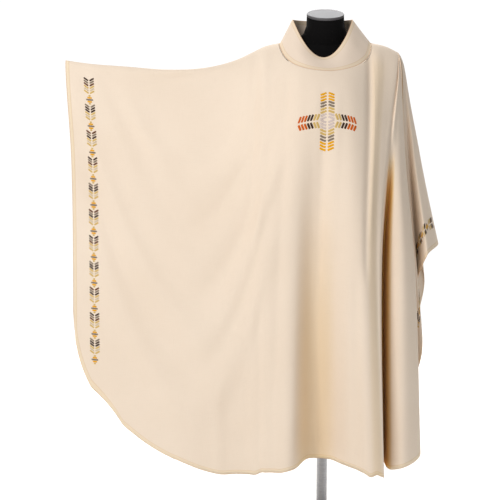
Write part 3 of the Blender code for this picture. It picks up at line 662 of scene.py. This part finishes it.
def build_panel(name, panel, material):
    vertices, faces, edge_line = panel_mesh(panel)
    if panel.side < 0:
        faces = [face[::-1] for face in faces]
    piece = new_piece(name, vertices, faces, material)
    mesh = piece.data
    lay_flat_places(mesh, vertices, panel.edge_distance(vertices[:, 3], vertices[:, 4]))
    # The fold value is the strength of the painted shade in the deep folds
    lay_value(mesh, "fold", vertices[:, 5])
    neck_points = np.array([mesh.vertices[k].co[:] for k in edge_line])
    neck_outward = np.array([mesh.vertices[k].normal[:] for k in edge_line])
    add_wall(piece, CLOTH_THICKNESS)
    return piece, (neck_points, neck_outward)


def neck_turns(count):
    """Turn around the neck of each point of a half ring, whose end pieces are the seam strips."""
    inner = np.linspace(-90, 90, count - 2)
    step = math.degrees(SEAM_STRIP / NECK_HALF_WIDTH)
    return np.concatenate(((-90.0,), (-90.0 + step,), inner[1:-1], (90.0 - step,), (90.0,)))


class Collar:
    """Collar band from the neck seam up to its free edge, by share of its height around the neck."""

    def __init__(self, front, back):
        front_points, front_outward = front
        back_points, back_outward = back
        seam = np.vstack((front_points, back_points[::-1][1:-1]))
        outward = np.vstack((front_outward, back_outward[::-1][1:-1]))
        for corner in (0, len(front_points) - 1):
            seam[corner][1] = 0
            outward[corner][1] = 0
        turns = (neck_turns(len(front_points)), 180 + neck_turns(len(back_points))[1:-1])
        self.turn = np.radians(np.concatenate(turns))
        along = np.roll(seam, -1, axis=0) - np.roll(seam, 1, axis=0)
        inward = np.cross(outward, along)
        inward /= np.linalg.norm(inward, axis=1)[:, None]
        inward *= np.sign(((seam.mean(axis=0) - seam) * inward).sum(axis=1))[:, None]
        self.first = seam + inward * SEAM_GAP
        self.second = self.first + inward * SEAM_STRIP
        top = np.zeros_like(seam)
        top[:, 0] = COLLAR_TOP_SHIFT + COLLAR_TOP_HALF_WIDTH * np.sin(self.turn)
        forward = np.cos(self.turn)
        middle = (COLLAR_TOP_FRONT_Y + COLLAR_TOP_BACK_Y) / 2
        top[:, 1] = middle - forward * (COLLAR_TOP_BACK_Y - COLLAR_TOP_FRONT_Y) / 2
        front_fall = COLLAR_TOP_SIDE_HEIGHT - COLLAR_TOP_FRONT_HEIGHT
        back_fall = COLLAR_TOP_SIDE_HEIGHT - COLLAR_TOP_BACK_HEIGHT
        top[:, 2] = COLLAR_TOP_SIDE_HEIGHT - np.where(forward > 0, front_fall, back_fall) * forward ** 2
        self.top = top

    def points(self, turn, share):
        """Places on the band at a turn around the neck, front 0 and falling side 90 degrees."""
        turn = np.asarray(turn, float)
        share = np.asarray(share, float)[..., None]
        around = np.append(self.turn, self.turn[0] + 2 * math.pi)
        turn = np.mod(turn - self.turn[0], 2 * math.pi) + self.turn[0]
        low = np.stack([np.interp(turn, around, np.append(self.second[:, k], self.second[0, k]))
                        for k in range(3)], axis=-1)
        high = np.stack([np.interp(turn, around, np.append(self.top[:, k], self.top[0, k]))
                         for k in range(3)], axis=-1)
        return low + (high - low) * share


def build_collar(collar, material):
    around = collar.turn
    count = len(around)
    rings = [collar.first, collar.second]
    for row in range(1, COLLAR_RINGS):
        share = row / (COLLAR_RINGS - 1)
        ring = collar.points(around, np.full(count, share))
        rings.append(ring + collar_dents(around, share, ring))
    vertices = np.vstack(rings)
    faces = []
    for row in range(len(rings) - 1):
        low = row * count
        for k in range(count):
            after = (k + 1) % count
            faces.append([low + k, low + after, low + count + after, low + count + k])
    piece = new_piece("collar_band", vertices, faces, material)
    reach = np.linalg.norm(vertices - np.tile(collar.first, (len(rings), 1)), axis=1)
    height = np.linalg.norm(collar.top - collar.first, axis=1)
    around_length = np.concatenate(((0,), np.cumsum(np.linalg.norm(np.diff(collar.second, axis=0), axis=1))))
    flat = np.column_stack((vertices, np.tile(around_length, len(rings)), reach))
    to_edge = np.minimum(reach, np.tile(height, len(rings)) - reach)
    lay_flat_places(piece.data, flat, np.maximum(to_edge, 0))
    add_wall(piece, COLLAR_THICKNESS)
    bevel = piece.modifiers.new("edge", "BEVEL")
    bevel.width = COLLAR_EDGE_ROUND
    bevel.segments = 2
    bevel.limit_method = "ANGLE"
    return piece


def collar_dents(turn, share, ring):
    """Small outward shifts that make the band look soft."""
    degrees = np.degrees(turn)
    total = np.zeros_like(degrees)
    for centre, middle, depth, width, tall in COLLAR_DENTS:
        off = np.mod(degrees - centre + 180, 360) - 180
        total = total + depth * np.exp(-(off / width) ** 2) * math.exp(-((share - middle) / tall) ** 2)
    total *= math.sin(math.pi * min(share, 0.94))
    outward = ring - ring.mean(axis=0)
    outward[:, 2] = 0
    outward /= np.linalg.norm(outward, axis=1)[:, None]
    return outward * total[:, None]


def pair(bars, across, down, length, width, slant, colour, upright=True):
    """Two slanted bars that meet on the middle line of an arm; the arm runs down, or across."""
    tilt = math.radians(slant)
    reach = length / 2 * math.cos(tilt) + width * 0.35
    for side in (-1, 1):
        if upright:
            bars.append((across + side * reach, down, length / 2, width / 2, side * tilt, colour))
        else:
            bars.append((across, down + side * reach, length / 2, width / 2, math.pi / 2 - side * tilt, colour))


def cross_bars(centre_across, centre_down):
    bars = []
    steps = int(CROSS_ARM / CROSS_PITCH)
    for k in range(-steps, steps + 1):
        away = abs(k) / steps
        facing = 1 if k < 0 else -1
        place = k * CROSS_PITCH
        upright_colour = cross_colour(away, ("lilac", "gold", "taupe", "amber"))
        level_colour = cross_colour(away, ("lilac", "gold", "brown", "orange"))
        pair(bars, centre_across, centre_down + place, CROSS_BAR_LENGTH, CROSS_BAR_WIDTH,
             facing * CROSS_SLANT, upright_colour)
        if abs(k) > 2:
            pair(bars, centre_across + place, centre_down, CROSS_BAR_LENGTH, CROSS_BAR_WIDTH,
                 facing * CROSS_SLANT, level_colour, upright=False)
    return bars


def cross_colour(away, names):
    for limit, name in zip((0.24, 0.46, 0.70, 1.01), names):
        if away < limit:
            return name
    return names[-1]


def border_bars(mirror):
    """Straight band of chevron groups with a lozenge between them."""
    bars = []
    groups = (("brown", "taupe", "rust"), ("taupe", "brown", "brown"), ("rust", "taupe", "brown"))
    for motif in range(BORDER_MOTIFS):
        top = BORDER_TOP + motif * BORDER_PERIOD
        colours = groups[motif % len(groups)]
        names = (*colours, "gold", "pale", "gold")
        for k, name in enumerate(names):
            pair(bars, mirror * BORDER_ACROSS, top + k * BORDER_PITCH, BORDER_BAR_LENGTH, BORDER_BAR_WIDTH,
                 -BORDER_SLANT, name)
        lozenge_top = top + len(names) * BORDER_PITCH + 0.004
        for k, length in enumerate(LOZENGE_LENGTHS):
            name = ("gold", "amber", "taupe", "amber", "gold")[k]
            bars.append((mirror * BORDER_ACROSS, lozenge_top + k * LOZENGE_PITCH, length / 2,
                         BORDER_BAR_WIDTH / 2, 0.0, name))
    return bars


def build_stitches(name, bars, surface, outward_sign, materials):
    """Padded satin bars laid on a surface that is given by two flat coordinates in metres."""
    names = sorted({bar[5] for bar in bars})
    along, across = np.meshgrid(BAR_ALONG, BAR_ACROSS, indexing="ij")
    along = along.ravel()
    across = across.ravel()
    border = (np.abs(along) == 1) | (np.abs(across) == 1)
    height = np.where(border, -BAR_SINK, BAR_HEIGHT * (1 - 0.35 * across ** 2) * (1 - 0.25 * along ** 4))
    first = []
    second = []
    flat = []
    for centre, down, half_length, half_width, tilt, _ in bars:
        run = along * half_length
        side = across * half_width * (1 - 0.22 * along ** 8)
        first.append(centre + run * math.cos(tilt) - side * math.sin(tilt))
        second.append(down + run * math.sin(tilt) + side * math.cos(tilt))
        flat.append(np.column_stack((run, side)))
    first = np.concatenate(first)
    second = np.concatenate(second)
    here = surface(first, second)
    one = surface(first + PROBE, second) - surface(first - PROBE, second)
    other = surface(first, second + PROBE) - surface(first, second - PROBE)
    normal = np.cross(one, other)
    normal /= np.maximum(np.linalg.norm(normal, axis=1), PROBE ** 4)[:, None]
    vertices = here + normal * outward_sign * np.tile(height, len(bars))[:, None]
    faces = []
    wide = len(BAR_ACROSS)
    size = len(along)
    for index in range(len(bars)):
        for row in range(len(BAR_ALONG) - 1):
            for column in range(wide - 1):
                corner = index * size + row * wide + column
                faces.append([corner, corner + 1, corner + wide + 1, corner + wide])
    if outward_sign > 0:
        faces = [face[::-1] for face in faces]
    piece = new_piece(name, vertices, faces, [materials[one] for one in names])
    mesh = piece.data
    per_bar = len(faces) // len(bars)
    slots = np.repeat([names.index(bar[5]) for bar in bars], per_bar)
    mesh.polygons.foreach_set("material_index", slots.astype(np.int32))
    layer = mesh.uv_layers.new(name="cut")
    corner = np.zeros(len(mesh.loops), np.int32)
    mesh.loops.foreach_get("vertex_index", corner)
    layer.data.foreach_set("uv", np.concatenate(flat)[corner].astype(np.float32).ravel())
    return piece


class Shader:
    """A material with small helpers to add and join its nodes."""

    def __init__(self, name, colour, roughness, metallic=0.0):
        self.material = bpy.data.materials.new(name)
        self.material.use_nodes = True
        self.tree = self.material.node_tree
        self.shader = self.tree.nodes["Principled BSDF"]
        self.set("Base Color", colour)
        self.set("Roughness", roughness)
        self.set("Metallic", metallic)
        self.material.diffuse_color = colour

    def set(self, socket, value):
        self.shader.inputs[socket].default_value = value

    def add(self, kind, **values):
        node = self.tree.nodes.new("ShaderNode" + kind)
        for name, value in values.items():
            if hasattr(node, name):
                setattr(node, name, value)
            else:
                node.inputs[name.replace("_", " ")].default_value = value
        return node

    def join(self, source, target):
        self.tree.links.new(source, target)

    def ramp(self, factor, stops):
        node = self.add("ValToRGB")
        elements = node.color_ramp.elements
        while len(elements) < len(stops):
            elements.new(0.5)
        for element, (place, colour) in zip(elements, stops):
            element.position = place
            element.color = colour if hasattr(colour, "__len__") else (colour, colour, colour, 1)
        self.join(factor, node.inputs["Fac"])
        return node.outputs["Color"]

    def mapped(self, source, scale):
        node = self.add("Mapping")
        node.inputs["Scale"].default_value = scale
        self.join(source, node.inputs["Vector"])
        return node.outputs["Vector"]

    def noise(self, source, scale, detail=2.0, rough=0.5):
        node = self.add("TexNoise", Scale=scale, Detail=detail, Roughness=rough)
        self.join(source, node.inputs["Vector"])
        return node.outputs["Fac"]

    def threads(self, source, spacing, direction):
        node = self.add("TexWave", wave_type="BANDS", bands_direction=direction, Distortion=1.2,
                        Detail=1.0, Detail_Scale=2.0)
        node.inputs["Scale"].default_value = WAVE_UNIT / spacing
        self.join(source, node.inputs["Vector"])
        return node.outputs["Fac"]

    def maths(self, operation, one, other):
        node = self.add("Math", operation=operation)
        for socket, value in zip(node.inputs, (one, other)):
            if hasattr(value, "is_output"):
                self.join(value, socket)
            else:
                socket.default_value = value
        return node.outputs["Value"]

    def blend(self, kind, factor, one, other):
        node = self.add("Mix", data_type="RGBA", blend_type=kind)
        colours = [socket for socket in node.inputs if socket.type == "RGBA"]
        node.inputs["Factor"].default_value = factor
        for socket, value in zip(colours, (one, other)):
            if hasattr(value, "is_output"):
                self.join(value, socket)
            else:
                socket.default_value = value
        return [socket for socket in node.outputs if socket.type == "RGBA"][0]

    def bump(self, height, strength, distance, below=None):
        node = self.add("Bump", Strength=strength, Distance=distance)
        self.join(height, node.inputs["Height"])
        if below is not None:
            self.join(below, node.inputs["Normal"])
        return node.outputs["Normal"]

    def finish(self, colour=None, roughness=None, normal=None):
        for name, value in (("Base Color", colour), ("Roughness", roughness), ("Normal", normal)):
            if value is not None:
                self.join(value, self.shader.inputs[name])
        return self.material


def cloth_material(name, light, deep, hem_step):
    """Fine plain-weave cloth with slubs, a turned and stitched hem, and a soft sheen; its colour carries painted
    shade in the deep folds, painted peach light on the hem's rolled edge and painted shade along the hem's stitch
    line.
    """
    shade = Shader(name, light, 0.78)
    shade.set("Sheen Weight", 0.22)
    shade.set("Sheen Roughness", 0.45)
    shade.set("Sheen Tint", display(255, 244, 228))
    shade.set("Specular IOR Level", 0.28)
    flat = shade.add("UVMap", uv_map="cut").outputs["UV"]
    broad = shade.noise(flat, 3.2, 3.0)
    colour = shade.ramp(broad, ((0.30, deep), (0.70, light)))
    warp_slub = shade.noise(shade.mapped(flat, (900, 30, 1)), 1.0, 2.0)
    weft_slub = shade.noise(shade.mapped(flat, (26, 700, 1)), 1.0, 2.0)
    slub = shade.maths("ADD", warp_slub, weft_slub)
    slub_tone = shade.ramp(slub, ((0.70, display(236, 232, 226)), (1.0, display(255, 255, 255))))
    colour = shade.blend("MULTIPLY", 0.16, colour, slub_tone)
    # Painted shade in the deep folds, tinted ochre as light bounced inside them; the fold value holds its
    # strength
    fold = shade.add("Attribute", attribute_name="fold").outputs["Fac"]
    painted_fold_shade_tint = shade.ramp(fold, (
        (0.00, display(255, 255, 255)),
        (0.30, display(248, 241, 222)),
        (1.00, display(250, 216, 138)),
    ))
    colour = shade.blend("MULTIPLY", 1.0, colour, painted_fold_shade_tint)
    # Along the hem: painted peach light on the rolled edge, a lighter hem band, and painted shade along the
    # stitch line
    edge = shade.add("Attribute", attribute_name="edge").outputs["Fac"]
    near = shade.maths("DIVIDE", edge, 0.030)
    hem_band_with_painted_edge_light_and_seam_shade = shade.ramp(near, (
        (0.000, display(244, 220, 196)),
        (0.045, display(250, 236, 216)),
        (0.090, display(255, 253, 244)),
        (0.330, display(255, 253, 242)),
        (0.360, display(246, 238, 224)),
        (0.390, display(246, 238, 224)),
        (0.430, display(255, 255, 255)),
    ))
    colour = shade.blend("MULTIPLY", 1.0, colour, hem_band_with_painted_edge_light_and_seam_shade)
    warp = shade.threads(flat, 0.0011, "X")
    weft = shade.threads(flat, 0.0011, "Y")
    weave = shade.maths("ADD", warp, weft)
    normal = shade.bump(weave, 0.10, 0.00025)
    normal = shade.bump(slub, 0.10, 0.00035, normal)
    rumple = shade.noise(shade.mapped(flat, (1, 0.45, 1)), 26.0, 2.0)
    normal = shade.bump(rumple, 0.10, 0.006, normal)
    if hem_step:
        step = shade.ramp(near, ((0.31, 1.0), (0.37, 0.0), (0.42, 0.12)))
        normal = shade.bump(step, 0.55, 0.0009, normal)
    rough = shade.maths("MULTIPLY_ADD", slub, 0.10)
    rough.node.inputs[2].default_value = 0.68
    return shade.finish(colour, rough, normal)


def thread_material(name, colour):
    """Shiny embroidery thread laid across each bar."""
    shade = Shader("thread_" + name, colour, 0.42)
    shade.set("Sheen Weight", 0.05)
    shade.set("Specular IOR Level", 0.18)
    shade.set("Anisotropic", 0.35)
    flat = shade.add("UVMap", uv_map="cut").outputs["UV"]
    threads = shade.threads(flat, 0.00055, "X")
    # Painted shade in the grooves between the threads, where the same wave bumps down
    painted_shade_between_threads = tuple(0.72 * value for value in colour[:3]) + (1.0,)
    tone = shade.ramp(threads, ((0.15, painted_shade_between_threads), (0.75, colour)))
    rough = shade.ramp(threads, ((0.0, 0.55), (1.0, 0.36)))
    return shade.finish(tone, rough, shade.bump(threads, 0.5, 0.0002))


def jersey_material():
    """Stretched black knit over the form."""
    shade = Shader("jersey_black", display(9, 8, 9), 0.9)
    shade.set("Specular IOR Level", 0.12)
    shade.set("Sheen Weight", 0.03)
    shade.set("Sheen Roughness", 0.40)
    place = shade.add("TexCoord").outputs["Object"]
    ribs = shade.threads(place, 0.0016, "X")
    rows = shade.threads(place, 0.0012, "Z")
    knit = shade.maths("MULTIPLY", ribs, rows)
    mottle = shade.noise(place, 60.0, 3.0)
    tone = shade.ramp(mottle, ((0.35, display(7, 6, 7)), (0.70, display(12, 11, 12))))
    rough = shade.ramp(mottle, ((0.3, 0.78), (0.7, 0.92)))
    return shade.finish(tone, rough, shade.bump(knit, 0.35, 0.0004))


def cap_material():
    shade = Shader("cap_painted", display(92, 90, 93), 0.6)
    place = shade.add("TexCoord").outputs["Object"]
    grain = shade.noise(place, 420.0, 3.0, 0.6)
    tone = shade.ramp(grain, ((0.35, display(84, 82, 85)), (0.7, display(98, 96, 99))))
    rough = shade.ramp(grain, ((0.3, 0.42), (0.7, 0.58)))
    return shade.finish(tone, rough, shade.bump(grain, 0.12, 0.0003))


def steel_material():
    shade = Shader("brushed_steel", display(168, 168, 170), 0.32, 1.0)
    place = shade.add("TexCoord").outputs["Object"]
    brush = shade.noise(shade.mapped(place, (40, 40, 1400)), 1.0, 2.0)
    tone = shade.ramp(brush, ((0.3, display(150, 150, 153)), (0.7, display(182, 182, 184))))
    rough = shade.ramp(brush, ((0.3, 0.24), (0.7, 0.42)))
    return shade.finish(tone, rough, shade.bump(brush, 0.08, 0.0002))


def powder_material():
    shade = Shader("powder_coat_black", display(34, 34, 36), 0.5)
    place = shade.add("TexCoord").outputs["Object"]
    grit = shade.noise(place, 900.0, 2.0, 0.6)
    wear = shade.noise(place, 14.0, 4.0, 0.6)
    tone = shade.ramp(wear, ((0.35, display(30, 30, 32)), (0.72, display(42, 42, 44))))
    rough = shade.ramp(wear, ((0.3, 0.42), (0.7, 0.60)))
    return shade.finish(tone, rough, shade.bump(grit, 0.25, 0.0003))


def area_light(name, place, target, width, height, power, colour=(1, 1, 1)):
    data = bpy.data.lights.new(name, "AREA")
    data.shape = "RECTANGLE"
    data.size = width
    data.size_y = height
    data.energy = power
    data.color = colour
    lamp = bpy.data.objects.new(name, data)
    scene.collection.objects.link(lamp)
    lamp.location = place
    lamp.rotation_euler = (Vector(target) - Vector(place)).to_track_quat("-Z", "Y").to_euler()


def build_studio():
    floor_mesh = bpy.data.meshes.new("floor")
    turns = [2 * math.pi * k / FLOOR_SIDES for k in range(FLOOR_SIDES)]
    rim = [(FLOOR_RADIUS * math.cos(turn), FLOOR_RADIUS * math.sin(turn), 0) for turn in turns]
    floor_mesh.from_pydata(rim, [], [list(range(FLOOR_SIDES))])
    floor = bpy.data.objects.new("floor", floor_mesh)
    scene.collection.objects.link(floor)
    shade = Shader("floor_pale", display(246, 245, 243), 0.8)
    shade.set("Emission Color", (1, 1, 1, 1))
    shade.set("Emission Strength", FLOOR_GLOW)
    floor_mesh.materials.append(shade.material)
    world = scene.world or bpy.data.worlds.new("studio")
    scene.world = world
    world.use_nodes = True
    background = world.node_tree.nodes["Background"]
    background.inputs["Color"].default_value = (1.0, 1.0, 1.0, 1)
    seen = world.node_tree.nodes.new("ShaderNodeLightPath").outputs["Is Camera Ray"]
    level = world.node_tree.nodes.new("ShaderNodeMapRange")
    level.inputs["To Min"].default_value = WORLD_LIGHT
    level.inputs["To Max"].default_value = BACKDROP_LIGHT
    world.node_tree.links.new(seen, level.inputs["Value"])
    world.node_tree.links.new(level.outputs["Result"], background.inputs["Strength"])
    for row in LAMPS:
        area_light(*row)
    camera = bpy.data.objects.new("camera", bpy.data.cameras.new("camera"))
    scene.collection.objects.link(camera)
    camera.data.sensor_width = SENSOR_WIDTH
    camera.data.lens = LENS
    camera.location = CAMERA_PLACE
    target = Vector((CAMERA_PLACE[0], 0, CAMERA_TARGET_HEIGHT))
    camera.rotation_euler = (target - Vector(CAMERA_PLACE)).to_track_quat("-Z", "Y").to_euler()
    scene.camera = camera
    scene.view_settings.view_transform = "Standard"
    scene.view_settings.look = "None"
    scene.view_settings.exposure = 0.0


def height_to_drop(panel, across, height):
    """Distance down the middle of a panel at which its cloth has a given height."""
    drops = np.linspace(panel.neck_depth, CUT_LENGTH, 200)
    heights = panel.position(np.full_like(drops, across), drops)[:, 2]
    return float(np.interp(-height, -heights, drops))


def main():
    front = Panel(1, FRONT_GRAIN, FRONT_SWAGS, FRONT_SOFT_SWAGS, FRONT_CREASES, FRONT_PAINTED_FOLD_SHADE,
                  FRONT_NECK_DEPTH, FRONT_NECK_SHAPING)
    back = Panel(-1, BACK_GRAIN, BACK_SWAGS, BACK_SOFT_SWAGS, BACK_CREASES, BACK_PAINTED_FOLD_SHADE,
                 BACK_NECK_DEPTH, BACK_NECK_SHAPING)
    front_cloth = cloth_material("cloth_cream_front", display(246, 229, 210), display(242, 224, 204), True)
    back_cloth = cloth_material("cloth_cream_back", display(246, 229, 210), display(242, 224, 204), True)
    collar_cloth = cloth_material("cloth_cream_collar", display(243, 226, 208), display(238, 219, 200), False)
    threads = {name: thread_material(name, display(*colour)) for name, colour in THREADS.items()}
    front_piece, front_neck = build_panel("front_cloth", front, front_cloth)
    back_piece, back_neck = build_panel("back_cloth", back, back_cloth)
    collar = Collar(front_neck, back_neck)
    collar_piece = build_collar(collar, collar_cloth)

    cross_down = height_to_drop(front, 0.0, CROSS_HEIGHT)
    cross = build_stitches("cross_embroidery", cross_bars(0.0, cross_down), front.on_cut, -1, threads)
    left_border = build_stitches("raised_edge_embroidery", border_bars(-1), front.on_cut, -1, threads)
    right_border = build_stitches("falling_edge_embroidery", border_bars(1), front.on_cut, -1, threads)

    body = "root"
    for piece, slot in ((front_piece, "cloth_front"), (back_piece, "cloth_back"), (collar_piece, "cloth_collar")):
        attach(piece, body)
    for piece in (cross, left_border, right_border):
        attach(piece, body)
    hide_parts("front_panel")
    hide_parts("back_panel")
    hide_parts("collar")
    finishes = {"form_body": jersey_material(), "neck_cap": cap_material(), "stand_pole": steel_material(),
                "stand_base": powder_material()}
    for node, material in finishes.items():
        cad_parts[node].material_slots[0].material = material
    build_studio()


main()
